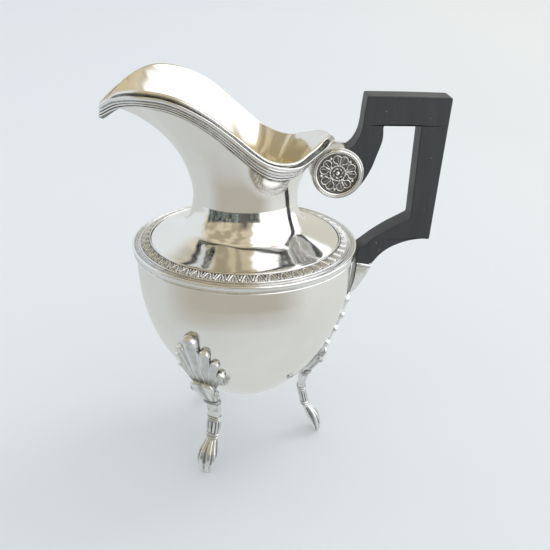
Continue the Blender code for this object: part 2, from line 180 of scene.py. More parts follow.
def capped(points, recess):
    """Closes both ends of a tube of points with a point in the middle of each end ring."""
    ends = [np.broadcast_to(points[k:][:1].mean(1, keepdims=True), points[:1].shape) for k in (0, -1)]
    return np.concatenate([ends[0], points, ends[1]]), np.concatenate([recess[:1], recess, recess[-1:]])


def turn(points, degrees):
    a = math.radians(degrees)
    c, s = math.cos(a), math.sin(a)
    return points @ np.array([[c, s, 0], [-s, c, 0], [0, 0, 1]])


def place(obj, node):
    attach(obj, "root")
    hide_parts(node)


# ---------------------------------------------------------------- materials

class Nodes:
    """Small helper for writing node materials."""

    def __init__(self, name):
        self.mat = bpy.data.materials.new(name)
        self.mat.use_nodes = True
        self.tree = self.mat.node_tree
        self.shader = self.tree.nodes["Principled BSDF"]

    def add(self, kind, inputs=None, **settings):
        node = self.tree.nodes.new(kind)
        for key, value in settings.items():
            setattr(node, key, value)
        for key, value in (inputs or {}).items():
            self.put(node.inputs[key], value)
        return node

    def put(self, socket, value):
        if isinstance(value, bpy.types.NodeSocket):
            self.tree.links.new(value, socket)
        else:
            socket.default_value = value

    def noise(self, scale, detail=3.0, rough=0.5, stretch=None, distortion=0.0):
        place_at = self.add("ShaderNodeTexCoord").outputs["Object"]
        if stretch:
            mapping = self.add("ShaderNodeMapping", {"Vector": place_at, "Scale": stretch})
            place_at = mapping.outputs["Vector"]
        node = self.add("ShaderNodeTexNoise", {"Vector": place_at, "Scale": scale, "Detail": detail,
                                               "Roughness": rough, "Distortion": distortion})
        return node.outputs["Fac"]

    def ramp(self, value, stops):
        node = self.add("ShaderNodeValToRGB", {"Fac": value})
        ramp = node.color_ramp
        while len(ramp.elements) < len(stops):
            ramp.elements.new(0.5)
        for element, (at, colour) in zip(ramp.elements, stops):
            element.position = at
            element.color = (*colour, 1)
        return node.outputs["Color"]

    def span(self, value, low, high, to_low, to_high):
        node = self.add("ShaderNodeMapRange", {"Value": value, "From Min": low, "From Max": high,
                                               "To Min": to_low, "To Max": to_high})
        return node.outputs["Result"]

    def mix(self, factor, a, b):
        node = self.add("ShaderNodeMix", data_type="RGBA")
        self.put(node.inputs["Factor"], factor)
        self.put(node.inputs["A"], a)
        self.put(node.inputs["B"], b)
        return node.outputs["Result"]

    def axis(self, name):
        """The object's own X, Y or Z, in metres."""
        place_at = self.add("ShaderNodeTexCoord").outputs["Object"]
        return self.add("ShaderNodeSeparateXYZ", {"Vector": place_at}).outputs[name]

    def maths(self, operation, a, b=0.0):
        node = self.add("ShaderNodeMath", operation=operation)
        self.put(node.inputs[0], a)
        self.put(node.inputs[1], b)
        return node.outputs[0]

    def painted(self, label):
        return self.add("ShaderNodeAttribute", attribute_name=label).outputs["Fac"]

    def glow(self, colour):
        """Makes the material send out a plain light of this colour."""
        out = self.add("ShaderNodeEmission", {"Color": colour, "Strength": 1.0})
        self.put(self.tree.nodes["Material Output"].inputs["Surface"], out.outputs[0])
        return self.mat

    def bump(self, height, strength, distance, under=None):
        node = self.add("ShaderNodeBump", {"Height": height, "Strength": strength, "Distance": distance})
        if under is not None:
            self.put(node.inputs["Normal"], under)
        return node.outputs["Normal"]


# near-black of the painted shade on sheet silver
PAINTED_SHADE = (0.07, 0.068, 0.06)


def sheet_silver(name, waviness=1.0, polish=0.07):
    """Polished sheet silver: faint hammer waves, hairline scratches, a painted gilt wash, and painted shade
    where the recess value is set.
    """
    n = Nodes(name)
    tone = n.ramp(n.noise(38, 4, 0.6), [(0.3, (0.84, 0.835, 0.815)), (0.7, (0.90, 0.895, 0.875))])
    gold = n.ramp(n.noise(60, 4, 0.6), [(0.3, (0.80, 0.72, 0.50)), (0.75, (0.90, 0.84, 0.66))])
    wear = n.span(n.noise(90, 3, 0.6), 0.35, 0.65, 0.72, 1.0)
    clean = n.mix(n.maths("MULTIPLY", n.painted("gilt"), wear), tone, gold)
    # painted shade: the recess value darkens the sheet towards a near-black grey
    painted_shade_amount = n.maths("MULTIPLY", n.painted("recess"), n.span(n.noise(160, 3, 0.6), 0.3, 0.6, 0.45, 1.0))
    n.put(n.shader.inputs["Base Color"], n.mix(painted_shade_amount, clean, (*PAINTED_SHADE, 1)))
    n.shader.inputs["Metallic"].default_value = 1.0
    n.put(n.shader.inputs["Roughness"], n.span(n.noise(220, 4, 0.65), 0.3, 0.75, polish, polish + 0.07))
    waves = n.bump(n.noise(55, 1.5, 0.4), 0.35 * waviness, 0.0004)
    hairs = n.bump(n.noise(900, 2, 0.5, stretch=(1, 1, 6)), 0.03, 0.0001, waves)
    n.put(n.shader.inputs["Normal"], hairs)
    return n.mat


# grey of the recesses: tarnish in the hollows, and painted shade where parts shadow each other
TARNISH_AND_SHADE = (0.12, 0.12, 0.11)


def cast_silver(name, polish=0.2, bright=(0.86, 0.865, 0.87)):
    """Cast and chased silver: bright worn ridges, grey in the painted recesses: tarnish in the hollows,
    with painted shade where parts shadow each other.
    """
    n = Nodes(name)
    depth = n.maths("ADD", n.painted("recess"), n.span(n.noise(420, 4, 0.6), 0.3, 0.7, -0.12, 0.12))
    worn = [0.62 * c for c in bright]
    n.put(n.shader.inputs["Base Color"], n.ramp(depth, [(0.05, bright), (0.45, worn), (0.95, TARNISH_AND_SHADE)]))
    n.shader.inputs["Metallic"].default_value = 1.0
    n.put(n.shader.inputs["Roughness"], n.span(depth, 0.0, 1.0, polish, 0.42))
    n.put(n.shader.inputs["Normal"], n.bump(n.noise(700, 3, 0.6), 0.12, 0.0002))
    return n.mat


def ebony(name):
    """Ebonised wood: near-black satin with a faint grain, pale nicks."""
    n = Nodes(name)
    grain = n.noise(420, 5, 0.65, stretch=(1.0, 1.0, 0.12), distortion=0.3)
    cloud = n.noise(60, 3, 0.6)
    base = n.ramp(grain, [(0.3, (0.034, 0.036, 0.040)), (0.7, (0.047, 0.049, 0.054))])
    base = n.mix(n.span(cloud, 0.35, 0.7, 0.0, 0.45), base, (0.040, 0.043, 0.054, 1))
    nick = n.span(n.noise(820, 1.5, 0.5), 0.755, 0.775, 0.0, 0.8)
    n.put(n.shader.inputs["Base Color"], n.mix(nick, base, (0.20, 0.22, 0.26, 1)))
    n.put(n.shader.inputs["Roughness"], n.span(n.noise(70, 4, 0.6), 0.3, 0.7, 0.40, 0.55))
    n.shader.inputs["Specular IOR Level"].default_value = 0.4
    n.put(n.shader.inputs["Normal"], n.bump(n.maths("ADD", grain, cloud), 0.06, 0.0003))
    return n.mat


SILVER = sheet_silver("silver_sheet")
SILVER_SMALL = sheet_silver("silver_fittings", 0.4, 0.10)
CAST = cast_silver("silver_cast")
CAST_LIGHT = cast_silver("silver_cast_light", 0.24, (0.82, 0.84, 0.85))
LIP_SILVER = cast_silver("silver_moulding", 0.12)
EBONY = ebony("ebonised_wood")

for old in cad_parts.values():
    own = EBONY if old.name == "handle" else SILVER_SMALL
    for at in range(len(old.data.materials)):
        old.data.materials[at] = own


# ---------------------------------------------------------------- bowl

# outer line of the bowl: (radius, height), from the girdle down to the middle of the underside
BOWL = [(38.6, 82.0), (38.55, 78.0), (38.4, 73.0), (37.6, 65.1), (35.9, 57.5), (33.3, 50.3), (29.9, 43.7),
        (25.8, 37.6), (21.2, 32.3), (15.0, 26.9), (7.6, 23.0), (0.0, 21.75)]
bowl_line = curve_through(BOWL, 120)


def make_bowl():
    shape = Shape()
    tangent = np.gradient(bowl_line, axis=0)
    tangent /= np.linalg.norm(tangent, axis=1)[:, None]
    inner = bowl_line + SHEET * np.stack([tangent[:, 1], -tangent[:, 0]], 1)
    inner[0, 1], inner[-1, 0] = bowl_line[0, 1], 0.0
    shape.grid(turned(bowl_line))
    shape.grid(turned(inner), gilt=0.35)
    shape.grid(turned([bowl_line[0], inner[0]]))
    place(shape.build("v_bowl", SILVER), "bowl")


# ---------------------------------------------------------------- neck and spout

# outer line of the shoulder: (radius, height)
SHOULDER = [(37.2, 83.1), (33.7, 84.6), (33.2, 85.4), (28.5, 87.0), (24.5, 88.6), (21.5, 90.6),
            (19.8, 93.2), (18.7, 96.6)]
WAIST_R, WAIST_Z = 18.1, 100.3
# mouth at each direction: (degrees from the handle's side, x, y, height of the lip,
# pull upwards at the waist, pull backwards and pull downwards at the lip)
MOUTH = [(0, 29.0, 0.0, 121.6, 6.7, 6.5, 8.0), (15, 26.8, 6.2, 121.5, 6.7, 6.0, 8.0),
         (30, 21.6, 12.6, 119.2, 6.5, 5.0, 7.5), (50, 15.4, 18.8, 117.2, 6.5, 3.8, 7.0),
         (70, 6.6, 23.4, 119.6, 7.5, 3.2, 7.5), (90, -3.6, 24.6, 127.6, 9.0, 3.4, 9.0),
         (110, -12.4, 26.2, 134.5, 11.0, 4.6, 10.0), (130, -22.4, 25.8, 139.2, 12.5, 6.5, 10.5),
         (150, -33.0, 23.0, 140.2, 14.0, 9.5, 9.5), (165, -41.0, 13.2, 137.2, 14.0, 13.0, 6.0),
         (180, -46.3, 0.0, 131.6, 14.0, 16.5, 3.2)]
ANGLES = np.linspace(0, 360, 288, endpoint=False)
FOLDED = np.minimum(ANGLES, 360 - ANGLES)      # degrees from the handle's side, the same on both halves
TIP_LEAN = 0.26                # outward lean of the moulding where it hangs at the spout's tip


def mouth_values(angles):
    """The table's columns at each angle, smooth and mirror-symmetric."""
    table = np.array(MOUTH, float)
    mirror = table[:0:-1].copy()
    mirror[:, 0] = -mirror[:, 0]
    mirror[:, 2] = -mirror[:, 2]
    beyond = table[-2::-1].copy()
    beyond[:, 0] = 360 - beyond[:, 0]
    beyond[:, 2] = -beyond[:, 2]
    rows = np.vstack([mirror, table, beyond])
    a, v = rows[:, 0], rows[:, 1:]
    slope = np.gradient(v, a, axis=0)
    slope[1:-1] = (v[2:] - v[:-2]) / (a[2:] - a[:-2])[:, None]
    i = np.clip(np.searchsorted(a, angles, side="right") - 1, 0, len(a) - 2)
    h = (a[i + 1] - a[i])[:, None]
    t = (angles - a[i])[:, None] / h
    return ((2 * t**3 - 3 * t**2 + 1) * v[i] + (t**3 - 2 * t**2 + t) * h * slope[i]
            + (3 * t**2 - 2 * t**3) * v[i + 1] + (t**3 - t**2) * h * slope[i + 1])


def rib_points(angles, ts):
    """Points of the sheet, one row for each position between waist and lip."""
    a = np.radians(angles)
    x, y, z, rise, back, drop = mouth_values(angles).T
    out = np.stack([np.cos(a), np.sin(a), 0 * a], 1)
    up = np.array([0, 0, 1.0])
    p0 = out * WAIST_R + up * WAIST_Z
    p3 = np.stack([x, y, z], 1)
    p1 = p0 + rise[:, None] * up
    p2 = p3 - out * back[:, None] - up * drop[:, None]
    rows = []
    for t in ts:
        s = 1 - t
        rows.append(p0 * s**3 + p1 * (3 * s * s * t) + p2 * (3 * s * t * t) + p3 * t**3)
    return np.array(rows)


def neck_grid():
    low = turned(curve_through(SHOULDER + [(WAIST_R, WAIST_Z)], 70)[:-1], len(ANGLES))
    return np.concatenate([low, rib_points(ANGLES, np.linspace(0, 1, 90))])


SHADOW_LINE_BELOW_LIP, SHADOW_LINE_WIDTH = 7.0, 0.8          # painted shadow: a dark line under the lowest reed, where the moulding shades the sheet


def make_neck(grid):
    """The sheet with its inside, which is gilt at the spout's tip and deep in the neck."""
    shape = Shape()
    inner = grid - SHEET * normals(grid)
    open_side = smoothstep(16, 24, FOLDED) * (1 - smoothstep(150, 165, FOLDED))
    # painted shadow: a dark line on the outside of the sheet just under the lip moulding, on the open sides
    dark_strip = np.clip(1.25 - np.abs(below_edge(grid) - SHADOW_LINE_BELOW_LIP) / SHADOW_LINE_WIDTH, 0, 1) * open_side
    tip = smoothstep(-30, -44, grid[:, :, 0]) * smoothstep(118, 128, grid[:, :, 2])
    deep = smoothstep(119, 112, grid[:, :, 2])
    gilt = np.clip(0.10 + 0.35 * tip + 0.7 * deep, 0, 1)
    shape.grid(grid, recess=dark_strip)
    shape.grid(inner, gilt=gilt)
    shape.grid(np.stack([grid[0], inner[0]]))
    shape.grid(np.stack([grid[-1], inner[-1]]), gilt=0.5)
    place(shape.build("v_neck_spout", SILVER), "neck_spout")


# section of the lip moulding: (distance out from the sheet, distance below the lip's edge)
LIP_LINE = (arc_points(0.55, 0.75, 1.45, 170, -38, 16) + arc_points(1.05, 2.75, 0.62, 75, -75, 7)
            + arc_points(1.0, 3.95, 0.58, 78, -78, 7) + arc_points(0.85, 5.1, 0.6, 80, -40, 7)
            + [(0.1, 5.85), (-0.2, 5.6), (-0.6, 3.5)])
LIP_GROOVES = (2.15, 3.36, 4.52)               # distances below the edge
LIP_BOTTOM = 5.85


def make_lip(grid):
    """Reeded moulding: a broad bead on the edge and three reeds below it on the outside."""
    fine = rib_points(ANGLES, np.linspace(0.4, 1, 140))
    normal = normals(fine)
    below = below_edge(fine)
    # the moulding hangs clear of the sheet at the spout's tip, and is narrow over the handle's drum
    hang = np.clip((FOLDED - 140) / 40, 0, None) ** 2
    narrow = 1 - smoothstep(13, 21, FOLDED)
    a = np.radians(ANGLES)
    lean = math.hypot(1, TIP_LEAN)
    drop = np.stack([np.cos(a) * TIP_LEAN, np.sin(a) * TIP_LEAN, 0 * a - 1], 1) / lean
    face = np.stack([np.cos(a), np.sin(a), 0 * a + TIP_LEAN], 1) / lean
    edge = fine[-1]
    upward = fine[-1] - fine[-2]
    upward /= np.linalg.norm(upward, axis=1)[:, None]
    rows = []
    for off, down in LIP_LINE:
        here = (1 - 0.12 * hang) * down
        here = np.where(narrow > 0, np.minimum(here, LIP_BOTTOM - 3.4 * narrow), here)
        flat = np.where(down > 2.3, 1 - narrow * 0.6, 1.0)
        base = np.empty_like(edge)
        norm = np.empty_like(edge)
        for j in range(len(ANGLES)):
            column = below[::-1, j]
            for k in range(3):
                base[j, k] = np.interp(max(here[j], 0), column, fine[::-1, j, k])
                norm[j, k] = np.interp(max(here[j], 0), column, normal[::-1, j, k])
        base = base + upward * np.clip(-here, 0, None)[:, None]
        hung = edge + drop * here[:, None]
        base = base + (hung - base) * hang[:, None]
        norm = norm + (face - norm) * hang[:, None]
        norm /= np.linalg.norm(norm, axis=1)[:, None]
        rows.append(base + norm * (off * flat)[:, None])
    depth = np.array([down for off, down in LIP_LINE])
    from_groove = np.min([np.abs(depth - groove) for groove in LIP_GROOVES], axis=0)
    recess = np.clip(1.0 - from_groove / 0.45, 0, 0.95)
    # painted shadow: the moulding's lowest edge, where it overhangs the sheet, is painted dark
    recess[depth > 5.4] = 0.9
    shape = Shape()
    shape.grid(np.array(rows), wrap_rows=True, recess=recess[:, None])
    place(shape.build("v_lip_moulding", LIP_SILVER), "lip_moulding")


# ---------------------------------------------------------------- shoulder band and girdle

BAND_LEAVES = 54
BAND_IN, BAND_OUT = (33.6, 85.55), (37.5, 84.1)         # edges of its upper side: (radius, height)
BAND_UNDER_IN, BAND_UNDER_OUT = 84.9, 83.4              # heights of its underside
LEAF_COLUMNS = 20                                       # points across one leaf


def make_band():
    """Flat band with a row of pointed leaves between plain fillets, darts between the leaves."""
    columns = BAND_LEAVES * LEAF_COLUMNS
    # s runs from the inner to the outer edge, u from the middle of a leaf to the line between two
    s = np.linspace(0, 1, 30)[:, None]
    u = (np.arange(columns) % LEAF_COLUMNS) / LEAF_COLUMNS * 2 - 1 + 1 / LEAF_COLUMNS
    u = np.abs(u)[None, :]
    run = np.clip((s - 0.14) / 0.72, 0, 1)
    leaf = 0.66 * run ** 0.55
    dart = 0.34 * np.clip(1 - run * 1.15, 0, 1)
    outline = ridge(u - leaf, 0.17) * (run > 0.01) * (run < 1)
    rib = ridge(u, 0.1) * smoothstep(0.2, 0.45, run) * (run < 1)
    vein = ridge(u - leaf * 0.5, 0.09) * smoothstep(0.45, 0.75, run) * (run < 1) * 0.7
    spike = ridge((1 - u) - dart, 0.12) * (run < 0.85) * (run > 0)
    relief = np.maximum.reduce([outline, rib * 0.9, vein, spike * 0.85])
    fillet = np.maximum(ridge(s - 0.05, 0.055), ridge(s - 0.94, 0.06))
    inside = (s > 0.1) & (s < 0.89)
    height = np.where(inside, 0.45 * relief - 0.2, 0.22 * fillet)
    recess = np.where(inside, 0.85 - 1.1 * relief, 0.25 - 0.3 * fillet)
    slope = np.array([BAND_OUT[0] - BAND_IN[0], BAND_OUT[1] - BAND_IN[1]])
    out = np.array([-slope[1], slope[0]]) / np.linalg.norm(slope)
    radius = BAND_IN[0] + slope[0] * s + out[0] * height
    level = BAND_IN[1] + slope[1] * s + out[1] * height
    a = np.linspace(0, 2 * math.pi, columns, endpoint=False)[None, :]
    top = np.stack([radius * np.cos(a), radius * np.sin(a), level * np.ones_like(a)], -1)
    shape = Shape()
    shape.grid(top, recess=np.clip(recess, 0, 1))
    under = turned([(BAND_IN[0], BAND_UNDER_IN), (BAND_OUT[0], BAND_UNDER_OUT)], columns)
    shape.grid(np.stack([top[-1], under[1]]))
    shape.grid(np.stack([under[0], top[0]]))
    shape.grid(under[::-1])
    place(shape.build("v_shoulder_band", CAST), "shoulder_band")


def girdle_tint(radius, height):
    """Darker in the moulding's groove, and painted shade under its lower bead."""
    if 38.0 < radius < 38.6 and height > 83:
        return 0.45
    return 0.3 if 81.2 < height < 81.4 or radius < 39.3 else 0.0


def make_girdle():
    line = ([(37.4, 83.95), (37.9, 83.85), (38.15, 83.55), (38.5, 83.35), (38.9, 83.35)]
            + arc_points(39.5, 83.4, 0.5, 160, -50, 12)
            + [(39.62, 82.85), (39.5, 82.7), (39.48, 82.0), (39.46, 81.35)]
            + arc_points(39.35, 81.0, 0.28, 60, -70, 7)
            + [(39.25, 80.6), (38.7, 80.45), (38.4, 80.6), (38.4, 82.6)])
    shape = Shape()
    tint = [girdle_tint(radius, height) for radius, height in line]
    shape.grid(turned(line, 320), wrap_rows=True, recess=np.array(tint)[:, None])
    place(shape.build("v_girdle", LIP_SILVER), "girdle_moulding")


# ---------------------------------------------------------------- palmettes, calyxes and legs

LEG_ANGLES = (0, 120, 240)

# lobes of the fan: (place along the root, direction in degrees from upright, length, half-width, thickness)
LOBES = [(-3.2, -26, 10.6, 1.5, 1.0), (3.2, 26, 10.6, 1.5, 1.0), (-2.2, -16.5, 16.4, 1.75, 1.25),
         (2.2, 16.5, 16.4, 1.75, 1.25), (-1.15, -8.5, 21.2, 2.1, 1.6), (1.15, 8.5, 21.2, 2.1, 1.6),
         (0, 0, 26.6, 3.0, 2.1)]
FAN_BASE_Z = 38.6
FAN_ROOT = 0.95                # half-width of each lobe where they spring from the calyx
FAN_STAND = 3.3                # how far the root stands off the bowl
FACE_POINTS = 33               # points across a lobe's face


def on_bowl(run, aside, lift):
    """Points a distance up the bowl's wall from the fan's base, aside along it, lifted off it."""
    along = np.concatenate([[0], np.cumsum(np.linalg.norm(np.diff(bowl_line, axis=0), axis=1))])
    height, radius = bowl_line[::-1, 1], bowl_line[::-1, 0]
    along = (along[-1] - along)[::-1]
    start = np.interp(FAN_BASE_Z, height, along)
    tangent = np.gradient(bowl_line[::-1], along, axis=0)
    r = np.interp(start + run, along, radius)
    z = np.interp(start + run, along, height)
    tr = np.interp(start + run, along, tangent[:, 0])
    tz = np.interp(start + run, along, tangent[:, 1])
    size = np.hypot(tr, tz)
    r, z, swing = r + lift * tz / size, z - lift * tr / size, aside / r
    return np.stack([r * np.cos(swing), r * np.sin(swing), z], -1)


def lobe(root, direction, length, half, thick):
    """One fluted lobe: hollow face, raised rim, thick tip that curls away from the bowl."""
    straight = length - half
    s = np.concatenate([np.linspace(0, straight, 34)[:-1],
                        straight + half * np.sin(np.linspace(0, math.pi / 2, 22))])
    grow = FAN_ROOT + (half - FAN_ROOT) * np.clip(s / straight, 0, 1) ** 0.85
    width = np.where(s < straight, grow, half * np.sqrt(np.clip(1 - ((s - straight) / half) ** 2, 0, 1)))
    width = np.maximum(width, 0.02)
    # v runs across the lobe's face from edge to edge, then back along its underside
    v = np.concatenate([-np.cos(np.linspace(0, math.pi, FACE_POINTS)), [0.97, 0.0, -0.97]])
    face = np.arange(len(v)) < FACE_POINTS
    rim = np.exp(-((np.abs(v) - 0.80) / 0.16) ** 2)
    # the rim also runs round the end, so the rise depends on the distance from the whole outline
    to_tip = np.clip((length - s) / half, 0, 3)[:, None]
    tip = np.exp(-((to_tip - 0.24) / 0.2) ** 2)
    curl = 0.75 * smoothstep(1.6, 0.5, to_tip)
    round_off = np.sqrt(np.clip(1 - np.abs(v) ** 6, 0, 1))[None, :] * np.ones_like(to_tip)
    end = np.clip(to_tip / 0.5, 0, 1)
    round_off = round_off * np.sqrt(np.clip(1 - (1 - end) ** 2.5, 0, 1))
    rise = np.clip(s / 9, 0.25, 1)[:, None]
    raised = np.maximum(rim[None, :] * np.ones_like(to_tip), tip)
    lift = rise * thick * (0.52 + 0.55 * raised) + curl * (0.5 + 0.5 * raised) * (thick / 1.7)
    lift = lift + FAN_STAND * np.clip(1 - s / 15, 0, 1)[:, None] ** 1.6
    lift = np.where(face[None, :], lift * round_off - 0.15, -0.35)
    a = math.radians(direction)
    bend = 0.06 * direction / 20 * (s / length) ** 2 * length      # outer lobes spread a little more
    run = (s * math.cos(a))[:, None] + 0 * v[None, :] - v[None, :] * (width * math.sin(a))[:, None]
    aside = root + (s * math.sin(a) + bend)[:, None] + v[None, :] * (width * math.cos(a))[:, None]
    hollow = np.clip(0.30 - 0.35 * raised, 0, 1) * np.ones_like(lift)
    # painted shade on the side walls of each lobe, in the gaps between the lobes
    shaded_sides = smoothstep(0.93, 1.0, np.abs(v))[None, :] * 0.75
    low = smoothstep(8, 1.5, s)[:, None] * 0.35
    recess = np.clip(np.maximum(hollow, shaded_sides) + low, 0, 1)
    return on_bowl(run, aside, lift), recess


def make_palmette(number):
    shape = Shape()
    for row in LOBES:
        points, recess = lobe(*row)
        points, recess = capped(points, recess)
        shape.grid(turn(points, LEG_ANGLES[number - 1]), recess=recess)
    name = f"palmette_{number}"
    place(shape.build("v_" + name, CAST_LIGHT), name)


# leg: (height, inner radius, outer radius, half-width), without its collars
LEG = [(0.0, 28.6, 30.1, 1.7), (0.6, 28.1, 30.6, 2.2), (1.6, 27.6, 30.8, 2.6), (2.8, 27.0, 30.8, 3.0),
       (4.2, 26.2, 30.7, 3.5), (5.8, 25.4, 30.3, 3.75), (7.6, 24.6, 29.6, 3.7), (9.2, 24.0, 28.5, 3.3),
       (10.6, 23.4, 27.2, 2.8), (12.0, 23.0, 26.0, 2.35), (14.0, 22.6, 25.2, 2.2), (16.4, 22.0, 24.8, 2.6),
       (18.6, 21.5, 24.3, 2.5), (20.4, 21.2, 24.0, 2.3), (24.0, 21.2, 24.1, 2.5), (28.0, 21.5, 25.0, 2.7),
       (30.8, 22.8, 27.0, 3.0)]
# collars round the leg: (height, half-width, how far they stand out)
COLLARS = [(20.6, 0.40, 0.50), (19.7, 0.36, 0.34), (13.75, 0.45, 0.50), (12.75, 0.42, 0.42)]
TOES = (-66, -23, 23, 66)      # directions of the toes and tendons, in degrees from straight out
FLUTES = 11


def leg_column(z, table, squareness, columns=96):
    """Rounded-square sections of the leg, with the angle round each section."""
    rows = np.array(table, float)
    inner, outer, half = (np.interp(z, rows[:, 0], rows[:, k]) for k in (1, 2, 3))
    smooth = np.ones(7) / 7
    inner, outer, half = (np.convolve(np.pad(v, 3, "edge"), smooth, "valid") for v in (inner, outer, half))
    phi = np.linspace(-math.pi, math.pi, columns, endpoint=False)[None, :]
    power = 2 / np.reshape(squareness, (-1, 1))
    cx = np.sign(np.cos(phi)) * np.abs(np.cos(phi)) ** power
    cy = np.sign(np.sin(phi)) * np.abs(np.sin(phi)) ** power
    return (inner + outer)[:, None] / 2, (outer - inner)[:, None] / 2, half[:, None], cx, cy, phi


def leg_points(z, parts, relief):
    centre, depth, half, cx, cy, phi = parts
    x = centre + depth * cx + relief * np.cos(phi)
    y = half * cy + relief * np.sin(phi)
    return np.stack([x, y, z[:, None] + 0 * x], -1)


def away(phi, degrees):
    """Distance round the section from a direction, in radians."""
    return np.abs((phi - np.radians(degrees) + math.pi) % (2 * math.pi) - math.pi)


def make_leg(number):
    z = np.linspace(0.0, 30.6, 230)
    parts = leg_column(z, LEG, 2.3 + 1.6 * smoothstep(18.5, 21.5, z))
    phi, zz = parts[-1], z[:, None]
    relief = np.zeros((len(z), phi.shape[1]))
    recess = np.full_like(relief, 0.12)
    for at, width, height in COLLARS:
        groove = np.exp(-((np.abs(zz - at) - width) / 0.16) ** 2)
        relief = np.maximum(relief, ridge(zz - at, width) * height)
        recess = np.maximum(recess, 0.75 * groove)
    # upright leaves between the collars
    leafy = smoothstep(14.1, 14.7, zz) * smoothstep(19.5, 18.8, zz)
    flute = ridge(np.abs((phi * FLUTES / (2 * math.pi)) % 1 - 0.5), 0.42)
    relief = relief + leafy * (0.52 * flute - 0.16)
    recess = np.maximum(recess, leafy * (0.95 - 1.0 * flute))
    # tendons down the paw, toes and claws
    tendon, toe, claw = 0 * relief, 0 * relief, 0 * relief
    for direction in TOES:
        spread = away(phi, direction * 0.75 + direction * 0.25 * smoothstep(12, 4, zz))
        tendon = np.maximum(tendon, ridge(spread, 0.30))
        toe = np.maximum(toe, ridge(spread, 0.40))
        claw = np.maximum(claw, ridge(spread, 0.16 + 0.05 * zz))
    paw = smoothstep(12.4, 11.2, zz)
    shin = paw * smoothstep(3.4, 5.2, zz)
    knuckle = np.exp(-((zz - 2.9) / 1.25) ** 2) + 0.55 * np.exp(-((zz - 5.3) / 0.9) ** 2)
    relief = relief + shin * (0.45 * tendon - 0.2) + (0.62 * toe - 0.3) * knuckle * (zz < 9)
    relief = relief + claw * 0.35 * smoothstep(1.9, 0.9, zz)
    front = np.cos(phi) > -0.25
    raised = np.maximum(tendon * (zz > 4), toe * (zz <= 4))
    recess = np.maximum(recess, front * paw * np.clip(0.75 - 0.9 * raised, 0, 1))
    # small pointed leaf hanging on the front of the shaft
    drop = np.clip((zz - 23.6) / 3.6, 0, 1)
    hang = ridge(away(phi, 0), 0.12 + 0.75 * drop) * (drop > 0) * smoothstep(28.6, 27.8, zz)
    relief = relief + 0.4 * hang
    outline = (drop > 0) * (zz < 28.4) * (away(phi, 0) < 1.1) * np.exp(-((hang - 0.06) / 0.1) ** 2)
    recess = np.maximum(recess, 0.5 * outline)
    points = leg_points(z, parts, relief)
    foot = points[:1] * np.array([1, 1, 0])
    sole = foot.mean(1, keepdims=True)
    points, recess = capped(np.concatenate([sole + (foot - sole) * 0.85, points]),
                            np.concatenate([recess[:1] + 0.3, recess]))
    shape = Shape()
    shape.grid(turn(points, LEG_ANGLES[number - 1]), recess=np.clip(recess, 0, 1))
    name = f"leg_{number}"
    place(shape.build("v_" + name, CAST_LIGHT), name)


# calyx under the fan: (height, inner radius, outer radius, half-width)
CALYX = [(27.0, 21.4, 25.0, 2.8), (27.8, 21.6, 25.9, 3.1), (28.8, 22.0, 26.3, 3.1), (30.0, 22.6, 26.8, 3.1),
         (31.8, 23.6, 28.0, 3.8), (34.0, 25.0, 29.4, 4.6), (36.6, 26.6, 30.9, 5.0), (38.6, 27.9, 31.8, 4.9),
         (39.6, 28.6, 31.7, 4.4), (39.9, 29.0, 31.0, 3.7)]


def make_calyx(number):
    z = np.linspace(27.0, 39.9, 110)
    parts = leg_column(z, CALYX, 2.4)
    phi, zz = parts[-1], z[:, None]
    band = ridge(zz - 28.2, 0.7)
    petals = np.maximum(ridge(away(phi, 40), 0.62), ridge(away(phi, -40), 0.62))
    cup = smoothstep(29.4, 30.6, zz)
    relief = cup * (0.75 * petals - 0.25) + 0.28 * band
    dark_strip = cup * np.clip(0.85 - 1.2 * petals, 0, 1) * (np.abs(phi) < 1.6)
    under = np.exp(-((zz - 29.3) / 0.45) ** 2)
    recess = np.clip(0.12 + 0.45 * dark_strip + 0.8 * under + 0.5 * (zz < 27.4) + 0.45 * band, 0, 1)
    points, recess = capped(leg_points(z, parts, relief), recess)
    shape = Shape()
    angle = LEG_ANGLES[number - 1]
    shape.grid(turn(points, angle), recess=recess)
    for side in (-1, 1):
        shape.grid(turn(scroll((28.8, side * 4.7, 35.6), side), angle), recess=SCROLL_RECESS)
    name = f"clip_{number}"
    place(shape.build("v_" + name, CAST_LIGHT), name)


SCROLL_R, SCROLL_TURNS = 1.35, 1.6


def scroll_relief():
    lat = np.linspace(-math.pi / 2, math.pi / 2, 30)[:, None]
    lon = np.linspace(0, 2 * math.pi, 40, endpoint=False)[None, :]
    spiral = (4 * SCROLL_TURNS * np.abs(math.pi / 2 - lat) / math.pi - lon / (2 * math.pi)) % 1
    return lat, lon, ridge(spiral - 0.5, 0.36)


SCROLL_RECESS = 0.65 - 0.6 * scroll_relief()[2]


def scroll(centre, side):
    """Small volute: a flattened ball wound with a spiral ridge, its eye facing sideways."""
    lat, lon, wound = scroll_relief()
    r = SCROLL_R * (0.86 + 0.16 * wound)
    ball = np.stack([r * np.cos(lat) * np.cos(lon), r * np.sin(lat) * 0.8 * side + 0 * lon,
                     r * np.cos(lat) * np.sin(lon)], -1)
    return ball + np.array(centre)


# ---------------------------------------------------------------- handle and its silver fittings

WOOD_ROUND = 0.45              # radius along the board's edges
WOOD_R = 7.9                   # the wood ends inside the drum at this radius

